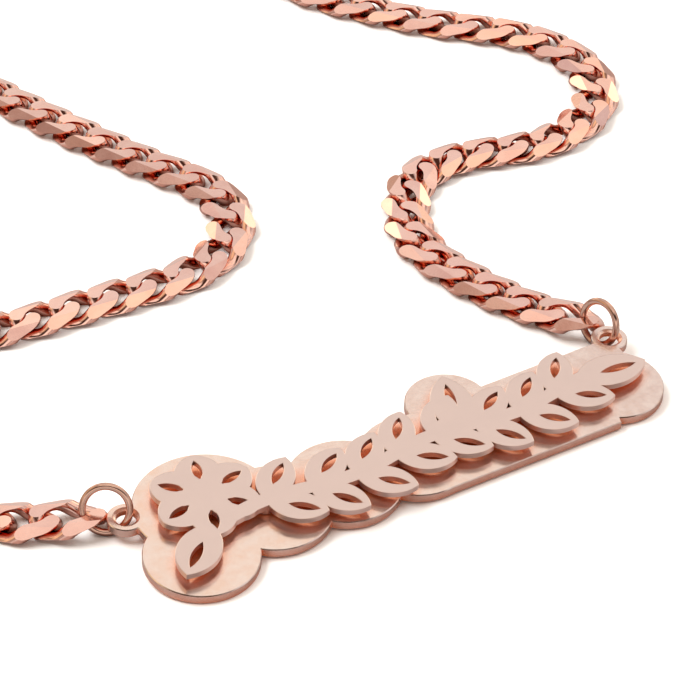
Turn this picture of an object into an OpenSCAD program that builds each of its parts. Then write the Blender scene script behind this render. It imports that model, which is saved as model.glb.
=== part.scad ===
// Layered nameplate necklace on a flat curb chain, laid out on a table.
// Millimetres, +Z up, the table at Z = 0 and the plate's long side along X.

/* [Layout] */
// Length of the loop as it lies on the table, from the plate to the clasp
loop_l = 160; // [158:0.5:163]

/* [Plates] */
// Length of the lobed back plate, eyelets left out
plate_l = 53.7; // [52:0.1:56]
// Height of the back plate at its tallest lobe
plate_h = 16.7; // [16:0.1:17.5]
// Thickness of the back plate
back_t = 0.9; // [0.8:0.05:1]
// Thickness of the raised front plate
front_t = 0.6; // [0.4:0.05:0.9]
// Open space between the two plates
plate_gap = 0.65; // [0.4:0.05:1]
// Rim of back plate that shows round the front plate
rim_w = 1.4; // [1.2:0.1:1.6]
// Outer diameter of an eyelet
eyelet_d = 3.4; // [3.3:0.1:3.6]
// Hole of an eyelet
eyelet_hole = 1.85; // [1.8:0.05:1.95]
// Chamfer round the hole of an eyelet, above and below
eyelet_chamfer = 0.2; // [0.15:0.01:0.25]

/* [Garland] */
// Width of the garland's stem
stem_w = 1.5; // [1.4:0.1:1.9]
// Sideways sway of the stem
stem_sway = 0.5; // [0:0.1:0.8]
// Length of a leaf
leaf_l = 5.7; // [5.2:0.1:5.9]
// Width of a leaf
leaf_w = 3.4; // [3:0.1:3.6]
// Angle between a leaf and the stem
leaf_angle = 42; // [36:1:46]
// Pairs of leaves along the stem
leaf_pairs = 8; // [6:1:9]
// Width of the slot cut along a leaf
slot_w = 0.9; // [0.6:0.05:1]
// Petals of the rosette
petals = 6; // [5:1:8]

/* [Posts] */
// Diameter of a post between the plates
post_d = 1.4; // [1.2:0.05:1.4]
// Diameter of a post's end inside the back plate
post_end_d = 0.9; // [0.7:0.05:1]
// Clearance round a post's end in its hole, on the radius
post_clear = 0.06; // [0.05:0.01:0.12]
// Posts along the stem
stem_posts = 4; // [2:1:5]

/* [Jump rings] */
// Wire of a jump ring
ring_wire = 0.66; // [0.6:0.02:0.68]
// Diameter of a jump ring's middle line
ring_d = 4.14; // [4.1:0.02:4.3]

/* [Curb chain] */
// Length of a link
link_l = 7; // [6.9:0.05:7.1]
// Width of the chain
link_w = 5; // [4.9:0.05:5.05]
// Thickness of the flat ground chain
chain_t = 1.55; // [1.5:0.01:1.6]
// Wire of a link, measured level
wire_w = 1.38; // [1.3:0.02:1.4]
// Wire of a link, measured upright
wire_h = 1.2; // [1.1:0.02:1.24]
// Rise of a link's strand above and below its middle
strand_rise = 0.76; // [0.74:0.01:0.8]
// Slope of the ground flats at the chain's edges
edge_slope = 27; // [24:1:30]
// Half width of the chain's level flat
flat_half = 1.35; // [1.3:0.05:1.5]
// Distance from link to link along the open chain
link_pitch = 3.95; // [3.92:0.01:4]
// Distance from link to link where the chain is pushed together
tight_pitch = 3.68; // [3.66:0.01:3.8]
// Links that are pushed together on the right
tight_links = 13; // [8:1:16]

/* [Clasp] */
// Distance between the clasp's two eyes
clasp_l = 10; // [9:0.1:11]
// Width of the clasp
clasp_w = 5.4; // [5:0.1:6]
// Thickness of the clasp
clasp_t = 1.7; // [1.5:0.05:2]

/* [Hidden] */
$fn = 64;

// Lower left corner of the plate on the table
plate_at = [-0.62 * plate_l, -0.504 * loop_l];
// Free height under an eye beside the wire that passes under it
ring_play = 0.24;
// Extra depth of a cutting tool past the face it cuts
past = 1;
// Eyelet centres as shares of the plate's length and height
eyelets = [[0.032, 0.731], [0.976, 0.698]];
// Lobes of the back plate: along and up as shares of length and height, radius as a share of height
lobes = [
    [0.099, 0.308, 0.308],
    [0.158, 0.614, 0.386],
    [0.253, 0.425, 0.317],
    [0.386, 0.419, 0.314],
    [0.521, 0.407, 0.311],
    [0.637, 0.674, 0.236],
    [0.914, 0.365, 0.275],
    [0.082, 0.683, 0.156],
    [0.939, 0.581, 0.12]
];
low_lobe = lobes[0];
rosette_lobe = lobes[1];
tall_lobe = lobes[5];
end_lobe = lobes[6];
// Straight band of the back plate behind the garland: its four corners as shares
band = [[0.521, 0.1], [0.87, 0.09], [0.939, 0.701], [0.521, 0.701]];

// Single leaves: lobe, turn, start behind the lobe's centre, length, width, the last three in shares of a leaf
lone_leaves = [[low_lobe, 222, 0.45, 1.15, 1.15], [tall_lobe, 72, 1, 1.4, 1.2]];
// The leaf at the stem's end: turn, length and width in shares of a leaf
end_leaf = [-6, 1.3, 1.15];
// Slot of a leaf: start and length as shares of the leaf's length
slot_shares = [0.36, 0.5];
// Rosette: its middle disc and the width of its petals as shares of reach and room, and its turn in petals
rosette_shares = [0.4, 0.86, 0.25];

// How a ring joins an eye to the chain's end link, looking from the eye along +X, lengths in ring radii:
// ring centre, ring's lean and turn, inside of the link's end, link's turn, lift and tilt
left_joint = [[-0.598, 0.615], 64.5, -121.5, [-1.082, 0.9486], -28.1, 0.148, 3.57];
right_joint = [[0.0145, 0.807], 74.4, -168.8, [-0.022, 1.507], -61.8, 0.193, 6.78];

// Control points of the chain's middle line between its end links, from the left eyelet round to the right
// one, on a grid of 320 cells to the loop's length
cell = loop_l / 320;
chain_route = [
    [-79, -127], [-86, -121], [-90, -110], [-90, -98], [-86, -82], [-71, -73], [-56, -75],
    [-48, -76], [-32, -77], [-15, -79], [-3, -70], [0, -58], [-2, -50], [-7, -41], [-16, -19],
    [-19, -10], [-25, 7], [-26, 22], [-27, 35], [-29, 48], [-34, 62], [-39, 74], [-43, 88],
    [-43, 101], [-42, 115], [-38, 129], [-30, 142], [-19, 150], [-7, 156], [7, 158], [21, 156],
    [34, 151], [46, 143], [55, 133], [62, 120], [66, 107], [66, 92], [65, 80], [63, 68], [59, 52],
    [55, 38], [52, 25], [51, 13], [55, 0], [62, -11], [72, -25], [83, -34], [90, -46], [90, -60],
    [82, -72], [65, -77], [51, -70], [38, -71], [30, -78], [23, -93], [28, -111], [31, -118]
];

// Clasp: middle of its body, of its pin's end and of its opening as shares of half its length, and the
// diameters of the pin's end and the opening as shares of its width
clasp_body_x = 0.1;
clasp_pin = [-0.15, 0.3];
clasp_window = [0.2, 0.5];
// Share of the chain's whole length on the left of the clasp
clasp_share = 0.52;

eye_lift = ring_wire + ring_play;
plate_tilt = asin(eye_lift / (plate_h * eyelets[0][1]));
front_z = back_t + plate_gap;
ring_r = ring_d / 2;

// Points of the plate in its own plane, and on the table, from shares of its length and height
function on_plate(share) = [share[0] * plate_l, share[1] * plate_h];
function on_table(share) =
    [plate_at[0] + share[0] * plate_l, plate_at[1] + share[1] * plate_h * cos(plate_tilt)];

module plate_plane() {
    translate([plate_at[0], plate_at[1], 0])
        rotate([plate_tilt, 0, 0])
            children();
}

// A pointed leaf along +X from the origin: what two discs share
module leaf(len, wide) {
    radius = (len * len + wide * wide) / (4 * wide);
    intersection() {
        translate([len / 2, radius - wide / 2]) circle(radius);
        translate([len / 2, wide / 2 - radius]) circle(radius);
    }
}

module slotted_leaf(len, wide) {
    difference() {
        leaf(len, wide);
        translate([slot_shares[0] * len, 0]) leaf(slot_shares[1] * len, slot_w);
    }
}

// The stem sways once every four bays, with a pair of leaves between bays
stem_start = rosette_lobe[0] * plate_l;
stem_end = end_lobe[0] * plate_l - 0.4 * leaf_l;
stem_up = (band[0][1] + band[3][1]) / 2 * plate_h;
bay = (stem_end - stem_start) / (leaf_pairs + 1);
sway_rate = 360 / (4 * bay);
stem_points = 48;
function stem_y(x) = stem_up + stem_sway * sin(sway_rate * (x - stem_start));
function stem_slope(x) = atan(stem_sway * sway_rate * PI / 180 * cos(sway_rate * (x - stem_start)));

module stem() {
    xs = [for (i = [0:stem_points]) stem_start + (stem_end - stem_start) * i / stem_points];
    polygon(concat(
        [for (x = xs) [x, stem_y(x) - stem_w / 2]],
        [for (i = [stem_points:-1:0]) [xs[i], stem_y(xs[i]) + stem_w / 2]]
    ));
}

module leaf_pair(x) {
    translate([x, stem_y(x)]) rotate(stem_slope(x)) for (side = [-1, 1])
        rotate(side * leaf_angle) slotted_leaf(leaf_l, leaf_w);
}

module rosette() {
    reach = rosette_lobe[2] * plate_h - rim_w;
    petal_w = 2 * reach * sin(180 / petals) * rosette_shares[1];
    translate(on_plate(rosette_lobe)) {
        circle(reach * rosette_shares[0]);
        for (i = [0:petals - 1]) rotate(360 / petals * (i + rosette_shares[2]))
            slotted_leaf(reach, petal_w);
    }
}

module garland() {
    rosette();
    stem();
    for (i = [1:leaf_pairs]) leaf_pair(stem_start + bay * i);
    for (row = lone_leaves) translate(on_plate(row[0])) rotate(row[1])
        translate([-row[2] * leaf_l, 0]) slotted_leaf(leaf_l * row[3], leaf_w * row[4]);
    translate([stem_end - stem_w, stem_y(stem_end)]) rotate(end_leaf[0])
        slotted_leaf(leaf_l * end_leaf[1], leaf_w * end_leaf[2]);
}

module plate_outline() {
    for (lobe = lobes) translate(on_plate(lobe)) circle(lobe[2] * plate_h);
    for (eyelet = eyelets) translate(on_plate(eyelet)) circle(d = eyelet_d);
    polygon([for (corner = band) on_plate(corner)]);
}

// One post under the rosette, the others evenly under the stem
post_places = concat(
    [on_plate(rosette_lobe)],
    [for (i = [0:stem_posts - 1])
        let (x = stem_start + bay * (1 + (leaf_pairs - 1) * i / (stem_posts - 1))) [x, stem_y(x)]]
);

// The hole of an eyelet in a plate of the back plate's thickness
module eyelet_bore() {
    wide_d = eyelet_hole + 2 * eyelet_chamfer;
    translate([0, 0, -past]) cylinder(h = back_t + 2 * past, d = eyelet_hole);
    cylinder(h = eyelet_chamfer, d1 = wide_d, d2 = eyelet_hole);
    translate([0, 0, back_t - eyelet_chamfer]) cylinder(h = eyelet_chamfer, d1 = eyelet_hole, d2 = wide_d);
}

module back_plate() {
    color("#f2cdbb") plate_plane() difference() {
        linear_extrude(back_t) plate_outline();
        for (eyelet = eyelets) translate(on_plate(eyelet)) eyelet_bore();
        for (place = post_places) translate(concat(place, -past))
            cylinder(h = back_t + 2 * past, r = post_end_d / 2 + post_clear);
    }
}

module front_plate() {
    color("#e8c4b8") plate_plane() {
        translate([0, 0, front_z]) linear_extrude(front_t) garland();
        for (place = post_places) translate(place) {
            translate([0, 0, post_clear]) cylinder(h = front_z, d = post_end_d);
            translate([0, 0, back_t + post_clear]) cylinder(h = plate_gap, d = post_d);
        }
    }
}

half_l = (link_l - wire_w) / 2;
half_w = (link_w - wire_w) / 2;
inner_half = link_l / 2 - wire_w;
link_sides = 12;
wire_sides = 6;

function ring_at(joint) = joint[0] * ring_r;
function ring_lean(joint) = joint[1];
function ring_turn(joint) = joint[2];
function link_at(joint) = joint[3] * ring_r - inner_half * [cos(joint[4]), sin(joint[4])];
function link_turn(joint) = joint[4];
function link_lift(joint) = joint[5] * ring_r;
function link_tilt(joint) = joint[6];

function unit(v) = v / norm(v);
function turned(v, angle) = [v[0] * cos(angle) - v[1] * sin(angle), v[0] * sin(angle) + v[1] * cos(angle)];

// One link about its own centre: a twisted oval of wire, ground flat above, below and along both edges
function strand(t) = [half_l * cos(t), half_w * sin(t), -strand_rise * sin(90 * sin(2 * t))];
function ground(p) =
    let (top = chain_t / 2 - max(0, abs(p[1]) - flat_half) * tan(edge_slope))
    [p[0], p[1], min(top, max(-top, p[2]))];
link_points = [for (i = [0:link_sides - 1])
    let (
        t = 360 * (i + 0.5) / link_sides,
        along = unit(strand(t + 0.1) - strand(t - 0.1)),
        out = unit(cross(along, [0, 0, 1])),
        up = cross(out, along)
    )
    for (j = [0:wire_sides - 1])
        let (g = 360 * (j + 0.5) / wire_sides)
        ground(strand(t) + out * cos(g) * wire_w / 2 + up * sin(g) * wire_h / 2)];
link_faces = [for (i = [0:link_sides - 1], j = [0:wire_sides - 1])
    let (
        a = i * wire_sides,
        b = (i + 1) % link_sides * wire_sides,
        k = (j + 1) % wire_sides
    )
    for (face = [[a + j, b + k, b + j], [a + j, a + k, b + k]]) face];

// The chain's middle line: a smooth curve led by the control points
eye_left = on_table(eyelets[0]);
eye_right = on_table(eyelets[1]);
route = concat([eye_left + link_at(left_joint)], chain_route * cell, [eye_right + link_at(right_joint)]);
route_last = len(route) - 1;
route_led = concat([2 * route[0] - route[1]], route, [2 * route[route_last] - route[route_last - 1]]);
route_steps = 8;
function blend(a, b, c, d, t) =
    (a * pow(1 - t, 3) + b * (3 * pow(t, 3) - 6 * t * t + 4)
        + c * (3 * t + 3 * t * t - 3 * pow(t, 3) + 1) + d * pow(t, 3)) / 6;
line = [for (i = [0:route_last - 1], k = [0:route_steps - (i == route_last - 1 ? 0 : 1)])
    blend(route_led[i], route_led[i + 1], route_led[i + 2], route_led[i + 3], k / route_steps)];
steps = [for (i = [1:len(line) - 1]) norm(line[i] - line[i - 1])];
sums = [for (i = 0, sum = 0; i <= len(steps); sum = sum + (i < len(steps) ? steps[i] : 0), i = i + 1) sum];
route_l = sums[len(sums) - 1];
line_x = [for (i = [0:len(line) - 1]) [sums[i], line[i][0]]];
line_y = [for (i = [0:len(line) - 1]) [sums[i], line[i][1]]];
function on_route(s) = [lookup(s, line_x), lookup(s, line_y)];
sight = link_pitch / 4;
function heading(s) =
    let (way = on_route(min(route_l, s + sight)) - on_route(max(0, s - sight)))
    atan2(way[1], way[0]);

// Where the two sides of the chain end, with the clasp between them
clasp_half = clasp_l / 2 + norm(link_at(left_joint));
left_end = route_l * clasp_share - clasp_half;
right_end = route_l * (1 - clasp_share) - clasp_half;
left_gaps = round(left_end / link_pitch);
tight_l = tight_links * tight_pitch;
open_gaps = round((right_end - tight_l) / link_pitch);
open_pitch = (right_end - tight_l) / open_gaps;
left_way = [for (i = [0:left_gaps]) left_end * i / left_gaps];
right_way = [for (i = [0:tight_links + open_gaps])
    route_l - (i < tight_links ? i * tight_pitch : tight_l + (i - tight_links) * open_pitch)];
right_gaps = len(right_way) - 1;

// A link's pose: place, turn, lift and tilt of its leading end. Links on the right side lead back along the line
function end_pose(at, turn, joint) = [at, turn, link_lift(joint), link_tilt(joint)];
function line_pose(s, back) = [on_route(s), heading(s) + back, 0, 0];
left_poses = concat(
    [end_pose(eye_left + link_at(left_joint), link_turn(left_joint), left_joint)],
    [for (i = [1:left_gaps - 1]) line_pose(left_way[i], 0)],
    [end_pose(on_route(left_end), heading(left_end), left_joint)]
);
right_poses = concat(
    [end_pose(eye_right + link_at(right_joint), link_turn(right_joint), right_joint)],
    [for (i = [1:right_gaps - 1]) line_pose(right_way[i], 180)],
    [end_pose(on_route(right_way[right_gaps]), heading(right_way[right_gaps]) + 180, left_joint)]
);

// The eyes that the last links are joined to, by the same joint as at the left eyelet
function joint_turn(pose) = pose[1] - link_turn(left_joint);
function far_eye(pose) = pose[0] - turned(link_at(left_joint), joint_turn(pose));
left_last = left_poses[left_gaps];
right_last = right_poses[right_gaps];
clasp_a = far_eye(left_last);
clasp_b = far_eye(right_last);
clasp_way = clasp_b - clasp_a;
clasp_mid = (clasp_a + clasp_b) / 2;
clasp_reach = norm(clasp_way) / 2;

function posed(p, pose) =
    let (
        tilt = pose[3],
        q = [p[0] * cos(tilt) - p[2] * sin(tilt), p[1], p[0] * sin(tilt) + p[2] * cos(tilt)],
        flat = turned([q[0], q[1]], pose[1]) + pose[0]
    )
    [flat[0], flat[1], q[2] + pose[2] + chain_t / 2];

module chain(poses) {
    color("#e8a48c") polyhedron(
        points = [for (pose = poses, p = link_points) posed(p, pose)],
        faces = [for (i = [0:len(poses) - 1], face = link_faces) [for (k = face) k + i * len(link_points)]]
    );
}

// A ring through an eye, resting on the table; turn turns the whole joint about the eye
module jump_ring(eye, joint, turn = 0) {
    at = eye + turned(ring_at(joint), turn);
    height = ring_r * sin(ring_lean(joint)) + ring_wire / 2;
    color("#b9806a") translate([at[0], at[1], height])
        rotate([0, ring_lean(joint), ring_turn(joint) + turn])
            rotate_extrude() translate([ring_r, 0]) circle(d = ring_wire, $fn = 32);
}

module clasp() {
    color("#d99a84") translate([clasp_mid[0], clasp_mid[1], eye_lift])
        rotate(atan2(clasp_way[1], clasp_way[0])) difference() {
            union() {
                linear_extrude(back_t) clasp_eyes();
                translate([0, 0, (back_t - clasp_t) / 2]) linear_extrude(clasp_t) clasp_outline();
            }
            for (side = [-1, 1]) translate([side * clasp_reach, 0]) eyelet_bore();
            translate([clasp_window[0] * clasp_reach, 0, -clasp_t])
                cylinder(h = 3 * clasp_t, d = clasp_window[1] * clasp_w);
        }
}

// Two eyes on a bar as wide as they are
module clasp_eyes() {
    for (side = [-1, 1]) translate([side * clasp_reach, 0]) circle(d = eyelet_d);
    translate([-clasp_reach, -eyelet_d / 2]) square([2 * clasp_reach, eyelet_d]);
}

// The body, tapered towards both eyes, with the round end of its closing pin
module clasp_outline() {
    end_x = clasp_reach - eyelet_d;
    body_x = clasp_body_x * clasp_reach;
    translate([body_x, 0]) circle(d = clasp_w);
    polygon([[-end_x, -eyelet_d / 2], [body_x, -clasp_w / 2], [end_x, -eyelet_d / 2],
             [end_x, eyelet_d / 2], [body_x, clasp_w / 2], [-end_x, eyelet_d / 2]]);
    translate([clasp_pin[0] * clasp_reach, clasp_w / 2]) circle(d = clasp_pin[1] * clasp_w);
}

back_plate();
front_plate();
jump_ring(eye_left, left_joint);  // jump_ring_left
jump_ring(eye_right, right_joint);  // jump_ring_right
chain(left_poses);  // chain_left
chain(right_poses);  // chain_right
clasp();
jump_ring(clasp_a, left_joint, joint_turn(left_last));  // clasp_ring_left
jump_ring(clasp_b, left_joint, joint_turn(right_last));  // clasp_ring_right
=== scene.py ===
"""Looks of the nameplate necklace: satin plates, ground curb chain, round rings, on a white table."""
import math

import bmesh
import bpy
import numpy as np
from mathutils import Matrix, Vector


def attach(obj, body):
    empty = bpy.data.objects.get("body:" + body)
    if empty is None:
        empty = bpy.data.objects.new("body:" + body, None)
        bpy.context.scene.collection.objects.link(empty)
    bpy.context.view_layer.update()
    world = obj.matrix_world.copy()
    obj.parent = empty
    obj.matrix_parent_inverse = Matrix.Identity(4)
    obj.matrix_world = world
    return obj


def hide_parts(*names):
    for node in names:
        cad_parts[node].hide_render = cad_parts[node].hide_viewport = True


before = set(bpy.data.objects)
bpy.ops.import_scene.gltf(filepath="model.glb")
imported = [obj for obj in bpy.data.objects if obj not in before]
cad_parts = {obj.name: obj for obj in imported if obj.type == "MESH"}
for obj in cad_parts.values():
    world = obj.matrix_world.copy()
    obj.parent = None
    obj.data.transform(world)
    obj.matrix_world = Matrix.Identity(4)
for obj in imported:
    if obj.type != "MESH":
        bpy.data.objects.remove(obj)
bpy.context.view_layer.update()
MM = 0.001

# Camera: where it stands, what it looks at, and how near and far it sees, in metres
CAMERA_AT = (-0.11714, -0.24696, 0.17229)
LOOK_AT = (-0.0015, -0.0545, 0.0)
NEAREST, FURTHEST = 0.01, 10
# Its lens and the width of its sensor, in millimetres
LENS, SENSOR = 158.8, 36

# Curb link: length, width and thickness in millimetres, as the part has them, and a little more wire
LINK_L, LINK_W, CHAIN_T = 7.0, 5.0, 1.55
WIRE_W, WIRE_H = 1.5, 1.34
# How far its strands rise, the slope of its edge flats in degrees, and half the width of its level flat
STRAND_RISE, EDGE_SLOPE, FLAT_HALF = 0.76, 27, 1.35
# Sections along its wire, and points round each
LINK_SECTIONS, LINK_POINTS = 56, 20
# Each link lies a little unevenly: the most that it leans sideways and tips endways, in degrees
LINK_LEAN, LINK_TIP = 1.3, 0.65
# Half of the step, in radians along a strand, that gives the strand's direction
STRAND_STEP = 0.002
# Points closer than this to a cutting plane are on it
ON_PLANE = 1e-5

# Wire of the rings in millimetres, the sections along it and the points round each
RING_WIRE = 0.66
RING_SECTIONS, RING_POINTS = 96, 24

# Width and drop of the chamfers on the plates, in millimetres
PLATE_CHAMFER = (0.08, 0.08)
FRONT_CHAMFER = (0.06, 0.03)
# Faces that turn by less than FLAT degrees are one face, and an edge of more than SHARP degrees stays sharp
FLAT, SHARP = 0.5, 25
# Points of a plate closer than this are one point, in millimetres
WELD = 1e-4
# Least cosine between a face and the upright for it to be a plate's top, and to be level with that top
UPRIGHT, LEVEL = 0.9, 0.9999
# A level that is smaller than this share of the plate's largest face keeps its edges
SMALL_LEVEL = 0.02

# Noise values between which a metal's colour changes, and between which its roughness does
PATCH_COLOURS, PATCH_ROUGHNESS = (0.35, 0.65), (0.3, 0.7)
# How open a place is where the full painted shade of a hollow ends, and where the open metal's own colour
# begins
FULL_PAINTED_SHADE, NO_PAINTED_SHADE = 0.25, 0.85
# Height of the metals' grain, in millimetres
GRAIN_H = 0.01

# Table: width in metres, roughness and shine
TABLE_W, TABLE_ROUGHNESS, TABLE_SHINE = 1.2, 0.9, 0.1
# Its colour as the camera sees it, and as metal reflects it: a warm painted shade close by, and further off
# a grey painted darker than that white
TABLE_WHITE = (0.93, 0.93, 0.93, 1)
TABLE_PAINTED_SHADE, TABLE_OPEN = (0.33, 0.26, 0.24, 1), (0.43, 0.43, 0.43, 1)
# Distances in millimetres over which one reflection turns into the other
TABLE_TURN = (2.5, 6.0)

# Lamps that no metal reflects: name, place and size in metres, power in watts
LAMPS = [
    ("key", (-0.25, 0.15, 0.45), (0.4, 0.3), 3.2),
    ("side", (0.45, -0.1, 0.35), (0.25, 0.25), 1.0),
]
# The point that the lamps face, in metres
LAMPS_AIM = (0, -0.03, 0)

# The light tent round the necklace, as its metal reflects it: height and colour
TENT = [
    (0.0, (0.42, 0.35, 0.32)),
    (0.16, (0.52, 0.45, 0.42)),
    (0.34, (0.90, 0.87, 0.84)),
    (0.68, (0.90, 0.89, 0.88)),
    (0.9, (1.05, 0.98, 0.90)),
]
# Folds of the tent's cloth: noise value and what the light is multiplied by, and the noise's scale
FOLDS = [
    (0.36, (0.72, 0.68, 0.70)),
    (0.50, (0.95, 0.95, 0.95)),
    (0.64, (1.30, 1.18, 0.98)),
]
FOLDS_SCALE = 7.0
# Brown drape on the tent's left: its way, cosines of its soft edge, and how much of the light it leaves
DRAPE = ((-0.73, 0.35, 0.585), 0.825, 0.855, (0.54, 0.45, 0.40))
# Panels of light in front of the tent: way, cosines of the outer and inner edge, colour
PANELS = [
    ((-0.75, 0.35, 0.55), 0.86, 0.95, (0.50, 0.38, 0.18)),
    ((0.83, 0.43, 0.36), 0.965, 0.985, (1.00, 0.85, 0.55)),
    ((-0.02, 0.93, 0.36), 0.965, 0.985, (1.00, 0.85, 0.55)),
    ((-0.41, -0.68, 0.61), 0.70, 0.92, (0.35, 0.32, 0.28)),
    ((0.33, 0.79, 0.52), 0.985, 0.997, (0.16, 0.21, 0.17)),
]
# Dark wall on the camera's side: its way, cosines of its ends, heights where it starts and stops, colour
DARK_WALL = ((-0.51, -0.86, 0), 0.10, 0.50, (0.46, 0.58, 0.80, 0.90), (0.06, 0.03, 0.02))

BLACK, WHITE = (0, 0, 0), (1, 1, 1)


def add_object(name, data, at=(0, 0, 0), towards=None):
    """An object in the scene, turned to look at a point where one is given."""
    obj = bpy.data.objects.new(name, data)
    obj.location = at
    if towards:
        obj.rotation_mode = "QUATERNION"
        obj.rotation_quaternion = (Vector(towards) - Vector(at)).to_track_quat("-Z", "Y")
    bpy.context.scene.collection.objects.link(obj)
    return obj


def make_camera():
    data = bpy.data.cameras.new("camera")
    data.sensor_width = SENSOR
    data.lens = LENS
    data.clip_start = NEAREST
    data.clip_end = FURTHEST
    data.dof.use_dof = False
    bpy.context.scene.camera = add_object("camera", data, CAMERA_AT, LOOK_AT)


# Materials

def socket(sockets, key):
    """An input or output by its number, or the one in use of those with its name."""
    if isinstance(key, int):
        return sockets[key]
    return next(each for each in sockets if each.enabled and each.name == key)


class Nodes:
    """A short way to add shader nodes to a tree, link them, and set the shader that they lead to."""

    def __init__(self, tree, shader):
        self.tree = tree
        self.shader = tree.nodes[shader]

    def join(self, value, target):
        """Link a socket to the target, or set the target's own value."""
        if isinstance(value, bpy.types.NodeSocket):
            self.tree.links.new(value, target)
        else:
            target.default_value = value

    def add(self, kind, inputs, output, **settings):
        """A new node's output. The settings come first, since they choose which sockets are in use."""
        node = self.tree.nodes.new(kind)
        for key, value in settings.items():
            setattr(node, key, value)
        for key, value in inputs.items():
            self.join(value, socket(node.inputs, key))
        return socket(node.outputs, output)

    def ramp(self, factor, stops):
        """Colours between stops of a place and a colour."""
        node = self.tree.nodes.new("ShaderNodeValToRGB")
        self.join(factor, node.inputs["Fac"])
        elements = node.color_ramp.elements
        while len(elements) < len(stops):
            elements.new(0.5)
        for element, (place, colour) in zip(elements, stops):
            element.position = place
            element.color = (*colour, 1)
        return node.outputs["Color"]

    def mix(self, factor, one, other, how="MIX"):
        inputs = {"Factor": factor, "A": one, "B": other}
        return self.add("ShaderNodeMix", inputs, "Result", data_type="RGBA", blend_type=how)

    def shade(self, inputs):
        """Link or set the shader's own inputs."""
        for key, value in inputs.items():
            self.join(value, self.shader.inputs[key])


def new_material(name):
    material = bpy.data.materials.new(name)
    material.use_nodes = True
    return material, Nodes(material.node_tree, "Principled BSDF")


def metal(name, colours, painted_shade, painted_shade_reach, roughness, varies, grain, grain_size, patch_size, painted_shade_metallic=1.0):
    """Rose gold plate: two close colours in soft patches, and a fine grain in its bump.

    Where something closes it in within the reach given in mm, it takes a deeper tone: a painted shade, and
    on the back plate an orange painted reflection. There it is only as metallic as the last argument says,
    so the lamps light the painted tone. Grain and patches have their sizes in millimetres too.
    """
    material, nodes = new_material(name)
    place = nodes.add("ShaderNodeTexCoord", {}, "Object")
    patch = nodes.add("ShaderNodeTexNoise", {
        "Vector": place, "Scale": 1 / (patch_size * MM), "Detail": 3.0, "Roughness": 0.6}, "Fac")
    fine = nodes.add("ShaderNodeTexNoise", {
        "Vector": place, "Scale": 1 / (grain_size * MM), "Detail": 2.0, "Roughness": 0.5}, "Fac")
    open_tone = nodes.ramp(patch, list(zip(PATCH_COLOURS, colours)))
    # Painted shade: where the AO finds hollows, the colour turns to the deeper tone, which stands in for
    # shade; on the back plate it is an orange painted reflection
    unshaded = nodes.add("ShaderNodeAmbientOcclusion", {"Distance": painted_shade_reach * MM}, "AO", samples=8)
    unshaded = nodes.ramp(unshaded, [(FULL_PAINTED_SHADE, BLACK), (NO_PAINTED_SHADE, WHITE)])
    tone_with_painted_shade = nodes.mix(unshaded, (*painted_shade, 1), open_tone)
    smoothest, roughest = PATCH_ROUGHNESS
    rough = nodes.add("ShaderNodeMapRange", {
        "Value": patch, "From Min": smoothest, "From Max": roughest,
        "To Min": roughness * (1 - varies), "To Max": roughness * (1 + varies)}, "Result")
    bump = nodes.add("ShaderNodeBump", {
        "Height": fine, "Strength": grain, "Distance": GRAIN_H * MM}, "Normal")
    nodes.shade({"Base Color": tone_with_painted_shade, "Roughness": rough, "Normal": bump, "Metallic": 1.0})
    # Painted reflection and shade lit by the lamps: in the hollows the metal is partly not metallic, so
    # lamp light falls on the painted tone
    if painted_shade_metallic < 1:
        share = nodes.add("ShaderNodeMapRange", {
            "Value": unshaded, "To Min": painted_shade_metallic, "To Max": 1.0}, "Result")
        nodes.shade({"Metallic": share})
    return material


def table_white():
    """White table; the metal reflects it with a painted shade, warm and dim close by, and a clear grey
    further off, darker than the white the camera sees.
    """
    material, nodes = new_material("floor_white")
    close, far = TABLE_TURN
    distance = nodes.add("ShaderNodeLightPath", {}, "Ray Length")
    further = nodes.add("ShaderNodeMapRange", {
        "Value": distance, "From Min": close * MM, "From Max": far * MM}, "Result")
    # Painted shade: metal sees the table warm and dim close by and grey further off, both darker than the
    # white the camera sees
    mirrored = nodes.mix(further, TABLE_PAINTED_SHADE, TABLE_OPEN)
    is_mirrored = nodes.add("ShaderNodeLightPath", {}, "Is Glossy Ray")
    nodes.shade({"Base Color": nodes.mix(is_mirrored, TABLE_WHITE, mirrored),
                 "Roughness": TABLE_ROUGHNESS, "Specular IOR Level": TABLE_SHINE})
    return material


# The deep colours are painted shade in hollows; the back plate's orange one is a painted reflection of the
# raised plate, lit by the lamps
BACK_METAL = metal(
    "back_metal", colours=((0.84, 0.65, 0.59), (0.91, 0.765, 0.72)), painted_shade=(0.98, 0.27, 0.08), painted_shade_reach=1.7,
    roughness=0.20, varies=0.25, grain=0.45, grain_size=0.25, patch_size=1.2, painted_shade_metallic=0.55)
FRONT_METAL = metal(
    "front_metal", colours=((0.78, 0.63, 0.60), (0.80, 0.648, 0.618)), painted_shade=(0.42, 0.21, 0.13), painted_shade_reach=0.9,
    roughness=0.34, varies=0.08, grain=0.3, grain_size=0.2, patch_size=2.5, painted_shade_metallic=0.7)
RING_METAL = metal(
    "ring_metal", colours=((0.60, 0.37, 0.30), (0.68, 0.44, 0.36)), painted_shade=(0.36, 0.16, 0.10), painted_shade_reach=0.6,
    roughness=0.16, varies=0.1, grain=0.2, grain_size=0.2, patch_size=1.0)
CHAIN_METAL = metal(
    "chain_metal", colours=((0.93, 0.56, 0.48), (0.96, 0.62, 0.54)), painted_shade=(0.74, 0.22, 0.11), painted_shade_reach=0.8,
    roughness=0.11, varies=0.2, grain=0.15, grain_size=0.3, patch_size=2.0)


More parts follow.
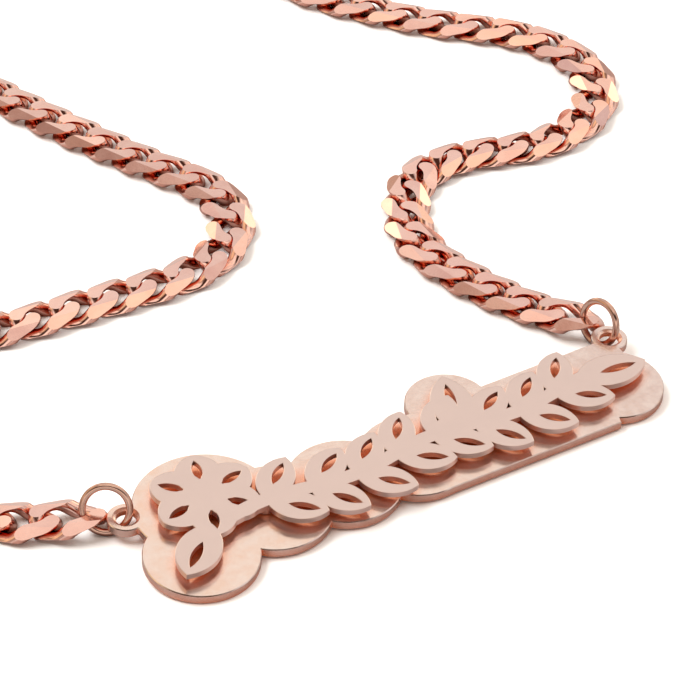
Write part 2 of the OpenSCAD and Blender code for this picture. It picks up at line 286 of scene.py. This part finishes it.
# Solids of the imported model

def solids(node):
    """Points (mm) and triangles of each closed solid in a CAD node."""
    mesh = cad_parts[node].data
    mesh.calc_loop_triangles()
    points = np.empty(len(mesh.vertices) * 3)
    mesh.vertices.foreach_get("co", points)
    points = points.reshape(-1, 3) / MM
    tris = np.empty(len(mesh.loop_triangles) * 3, int)
    mesh.loop_triangles.foreach_get("vertices", tris)
    points, inverse = np.unique(np.round(points, 4), axis=0, return_inverse=True)
    tris = inverse.ravel()[tris].reshape(-1, 3)
    # Each point takes the lowest label in its triangles, until every solid has one label
    label = np.arange(len(points))
    while True:
        lowest = label[tris].min(axis=1)
        after = label.copy()
        np.minimum.at(after, tris.ravel(), np.repeat(lowest, 3))
        if (after == label).all():
            break
        label = after
    owner = label[tris[:, 0]]
    return [(points, tris[owner == each]) for each in np.unique(owner)]


def principal(points, tris):
    """Centre of a solid and its principal axes, longest first, the last one pointing up."""
    # The solid is a sum of tetrahedra between its triangles and the origin, and then its centre
    a, b, c = (points[tris[:, k]] for k in range(3))
    volume = np.einsum("ij,ij->i", a, np.cross(b, c)) / 6
    centre = ((a + b + c) * volume[:, None]).sum(axis=0) / 4 / volume.sum()
    a, b, c = a - centre, b - centre, c - centre
    volume = np.einsum("ij,ij->i", a, np.cross(b, c)) / 6
    total = a + b + c
    spread = sum(np.einsum("i,ij,ik->jk", volume, v, v) for v in (a, b, c, total)) / 20
    axes = np.linalg.eigh(spread * np.sign(volume.sum()))[1][:, ::-1]
    up = axes[:, 2] * (1 if axes[2, 2] >= 0 else -1)
    along = axes[:, 0]
    return centre, np.column_stack([along, np.cross(up, along), up])


# Bent wire

def turns(count):
    """Angles of evenly spaced points round a circle."""
    return [2 * math.pi * i / count for i in range(count)]


def unit(vector):
    return vector / np.linalg.norm(vector)


def section(middle, out, up, width, height, count):
    """Points round an oval section of wire."""
    return [middle + out * math.cos(turn) * width / 2 + up * math.sin(turn) * height / 2
            for turn in turns(count)]


def closed_wire(sections):
    """A ring of wire through its sections, the last one joined to the first."""
    bm = bmesh.new()
    rows = [[bm.verts.new(point) for point in points] for points in sections]
    for here, there in zip(rows, rows[1:] + rows[:1]):
        for j in range(len(here)):
            k = (j + 1) % len(here)
            bm.faces.new((here[j], here[k], there[k], there[j])).smooth = True
    bmesh.ops.recalc_face_normals(bm, faces=bm.faces)
    return bm


# Pieces

def add_piece(name, bm, material, slot, *nodes):
    """An object that rides on the root body and takes the place of CAD nodes."""
    mesh = bpy.data.meshes.new(name)
    bm.to_mesh(mesh)
    bm.free()
    mesh.materials.append(material)
    obj = add_object(name, mesh)
    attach(obj, "root")
    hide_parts(*nodes)


def grind(bm, at, way):
    """Cut off what lies beyond a plane, and close the cut with smooth faces in a sharp edge."""
    bmesh.ops.bisect_plane(bm, geom=[*bm.verts, *bm.edges, *bm.faces], dist=ON_PLANE,
                           plane_co=at, plane_no=way, clear_outer=True)
    before = set(bm.faces)
    bmesh.ops.holes_fill(bm, edges=[edge for edge in bm.edges if edge.is_boundary], sides=0)
    for face in bm.faces:
        if face not in before:
            face.smooth = True
            for edge in face.edges:
                edge.smooth = False


def curb_link():
    """One link in millimetres: an oval of wire that rises and falls, ground flat by six planes."""
    half_l, half_w = (LINK_L - WIRE_W) / 2, (LINK_W - WIRE_W) / 2

    def strand(turn):
        return np.array([half_l * math.cos(turn), half_w * math.sin(turn),
                         -STRAND_RISE * math.sin(math.pi / 2 * math.sin(2 * turn))])

    sections = []
    for turn in turns(LINK_SECTIONS):
        along = unit(strand(turn + STRAND_STEP) - strand(turn - STRAND_STEP))
        out = unit(np.cross(along, [0, 0, 1]))
        sections.append(section(strand(turn), out, np.cross(out, along), WIRE_W, WIRE_H, LINK_POINTS))
    bm = closed_wire(sections)
    slope = math.radians(EDGE_SLOPE)
    for z in (1, -1):
        grind(bm, (0, 0, z * CHAIN_T / 2), (0, 0, z))
    for y in (-1, 1):
        for z in (-1, 1):
            grind(bm, (0, y * FLAT_HALF, z * CHAIN_T / 2), (0, y * math.sin(slope), z * math.cos(slope)))
    bmesh.ops.recalc_face_normals(bm, faces=bm.faces)
    return bm


def chain_piece(name, node):
    """A ground link in the place of each of the chain's solids."""
    wobble = np.random.default_rng(len(name))
    link = curb_link()
    link_mesh = bpy.data.meshes.new(name + "_link")
    link.to_mesh(link_mesh)
    link.free()
    bm = bmesh.new()
    for points, tris in solids(node):
        centre, axes = principal(points, tris)
        lean, tip = np.radians(wobble.uniform(-1, 1, 2) * (LINK_LEAN, LINK_TIP))
        uneven = Matrix.Rotation(lean, 4, "X") @ Matrix.Rotation(tip, 4, "Y")
        place = Matrix.Translation(centre * MM) @ Matrix(axes).to_4x4() @ uneven @ Matrix.Scale(MM, 4)
        had = len(bm.verts)
        bm.from_mesh(link_mesh)
        bm.verts.ensure_lookup_table()
        bmesh.ops.transform(bm, matrix=place, verts=bm.verts[had:])
    bpy.data.meshes.remove(link_mesh)
    add_piece(name, bm, CHAIN_METAL, "chain_metal", node)


def ring_piece(name, node):
    """A round wire ring with the CAD ring's centre, plane and size."""
    points, tris = solids(node)[0]
    centre, axes = principal(points, tris)
    radius = np.linalg.norm(points[np.unique(tris)] - centre, axis=1).max() - RING_WIRE / 2
    sections = []
    for turn in turns(RING_SECTIONS):
        out = axes @ [math.cos(turn), math.sin(turn), 0]
        middle = centre + out * radius
        sections.append(section(middle, out, axes[:, 2], RING_WIRE, RING_WIRE, RING_POINTS))
    bm = closed_wire(sections)
    bmesh.ops.scale(bm, vec=(MM,) * 3, verts=bm.verts)
    add_piece(name, bm, RING_METAL, "ring_metal", node)


def levels(bm, side):
    """Lists of the faces that look to one side, one list for each height."""
    found = {}
    for face in bm.faces:
        if face.normal.dot(side) > LEVEL:
            height = round(face.calc_center_median().dot(side), 2)
            found.setdefault(height, []).append(face)
    return list(found.values())


def break_edge(bm, faces, side, width, drop):
    """Chamfer the edge round a level: a band inside it, whose outer rim then drops."""
    band = bmesh.ops.inset_region(bm, faces=faces, thickness=width, use_even_offset=True,
                                  use_boundary=True)["faces"]
    level = {*faces, *band}
    rim = {vert for face in band for edge in face.edges
           if any(other not in level for other in edge.link_faces) for vert in edge.verts}
    for face in band:
        face.smooth = True
    for vert in rim:
        vert.co -= side * drop


def chamfered_piece(name, node, chamfer, material, slot):
    """The CAD solid with the edges of its flat sides broken by a small chamfer."""
    bm = bmesh.new()
    bm.from_mesh(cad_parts[node].data)
    bmesh.ops.scale(bm, vec=(1 / MM,) * 3, verts=bm.verts)
    bmesh.ops.remove_doubles(bm, verts=bm.verts, dist=WELD)
    bmesh.ops.dissolve_limit(bm, angle_limit=math.radians(FLAT), verts=bm.verts, edges=bm.edges)
    for face in bm.faces:
        face.smooth = True
    largest = max(face.calc_area() for face in bm.faces)
    top = max(bm.faces, key=lambda face: face.calc_area() * (face.normal.z > UPRIGHT)).normal.copy()
    for side in (top, -top):
        for faces in levels(bm, side):
            if sum(face.calc_area() for face in faces) >= SMALL_LEVEL * largest:
                break_edge(bm, faces, side, *chamfer)
    bm.normal_update()
    for edge in bm.edges:
        if len(edge.link_faces) == 2 and edge.calc_face_angle() > math.radians(SHARP):
            edge.smooth = False
    bmesh.ops.scale(bm, vec=(MM,) * 3, verts=bm.verts)
    add_piece(name, bm, material, slot, node)


# Table and light

def make_table():
    bpy.ops.mesh.primitive_plane_add(size=TABLE_W, location=(0, 0, 0))
    floor = bpy.context.object
    floor.name = "floor"
    floor.data.materials.append(table_white())


def make_lamp(name, at, size, power):
    data = bpy.data.lights.new(name, "AREA")
    data.shape = "RECTANGLE"
    data.size, data.size_y = size
    data.energy = power
    lamp = add_object(name, data, at, LAMPS_AIM)
    lamp.visible_glossy = False


def make_world():
    """Light tent with folds, a drape, panels of light and a dark wall. The camera sees it white."""
    world = bpy.data.worlds.new("studio")
    bpy.context.scene.world = world
    world.use_nodes = True
    nodes = Nodes(world.node_tree, "Background")
    way = nodes.add("ShaderNodeTexCoord", {}, "Generated")

    def spot(towards, outer, inner, before, after):
        """One colour outside a cone and another inside it."""
        cosine = nodes.add("ShaderNodeVectorMath", {0: way, 1: Vector(towards).normalized()}, "Value",
                           operation="DOT_PRODUCT")
        return nodes.ramp(cosine, [(outer, before), (inner, after)])

    height = nodes.add("ShaderNodeSeparateXYZ", {"Vector": way}, "Z")
    tent = nodes.ramp(height, TENT)
    cloth = nodes.add("ShaderNodeTexNoise", {"Vector": way, "Scale": FOLDS_SCALE, "Detail": 1.0}, "Fac")
    light = nodes.mix(1.0, tent, nodes.ramp(cloth, FOLDS), "MULTIPLY")
    towards, outer, inner, colour = DRAPE
    light = nodes.mix(1.0, light, spot(towards, outer, inner, WHITE, colour), "MULTIPLY")
    for towards, outer, inner, colour in PANELS:
        light = nodes.mix(1.0, light, spot(towards, outer, inner, BLACK, colour), "ADD")
    towards, outer, inner, (foot, low, high, top), colour = DARK_WALL
    band = nodes.ramp(height, [(foot, BLACK), (low, WHITE), (high, WHITE), (top, BLACK)])
    wall = nodes.mix(1.0, spot(towards, outer, inner, BLACK, WHITE), band, "MULTIPLY")
    light = nodes.mix(wall, light, (*colour, 1))
    seen = nodes.add("ShaderNodeLightPath", {}, "Is Camera Ray")
    nodes.shade({"Color": nodes.mix(seen, light, (*WHITE, 1)), "Strength": 1.0})


make_camera()
make_table()
make_world()
for lamp in LAMPS:
    make_lamp(*lamp)
bpy.context.scene.view_settings.view_transform = "Standard"

chamfered_piece("back_plate_fine", "back_plate", PLATE_CHAMFER, BACK_METAL, "plate_metal")
chamfered_piece("front_plate_fine", "front_plate", FRONT_CHAMFER, FRONT_METAL, "front_metal")
chamfered_piece("clasp_fine", "clasp", PLATE_CHAMFER, RING_METAL, "ring_metal")
for side in ("left", "right"):
    chain_piece(f"chain_{side}_fine", f"chain_{side}")
    ring_piece(f"jump_ring_{side}_fine", f"jump_ring_{side}")
    ring_piece(f"clasp_ring_{side}_fine", f"clasp_ring_{side}")
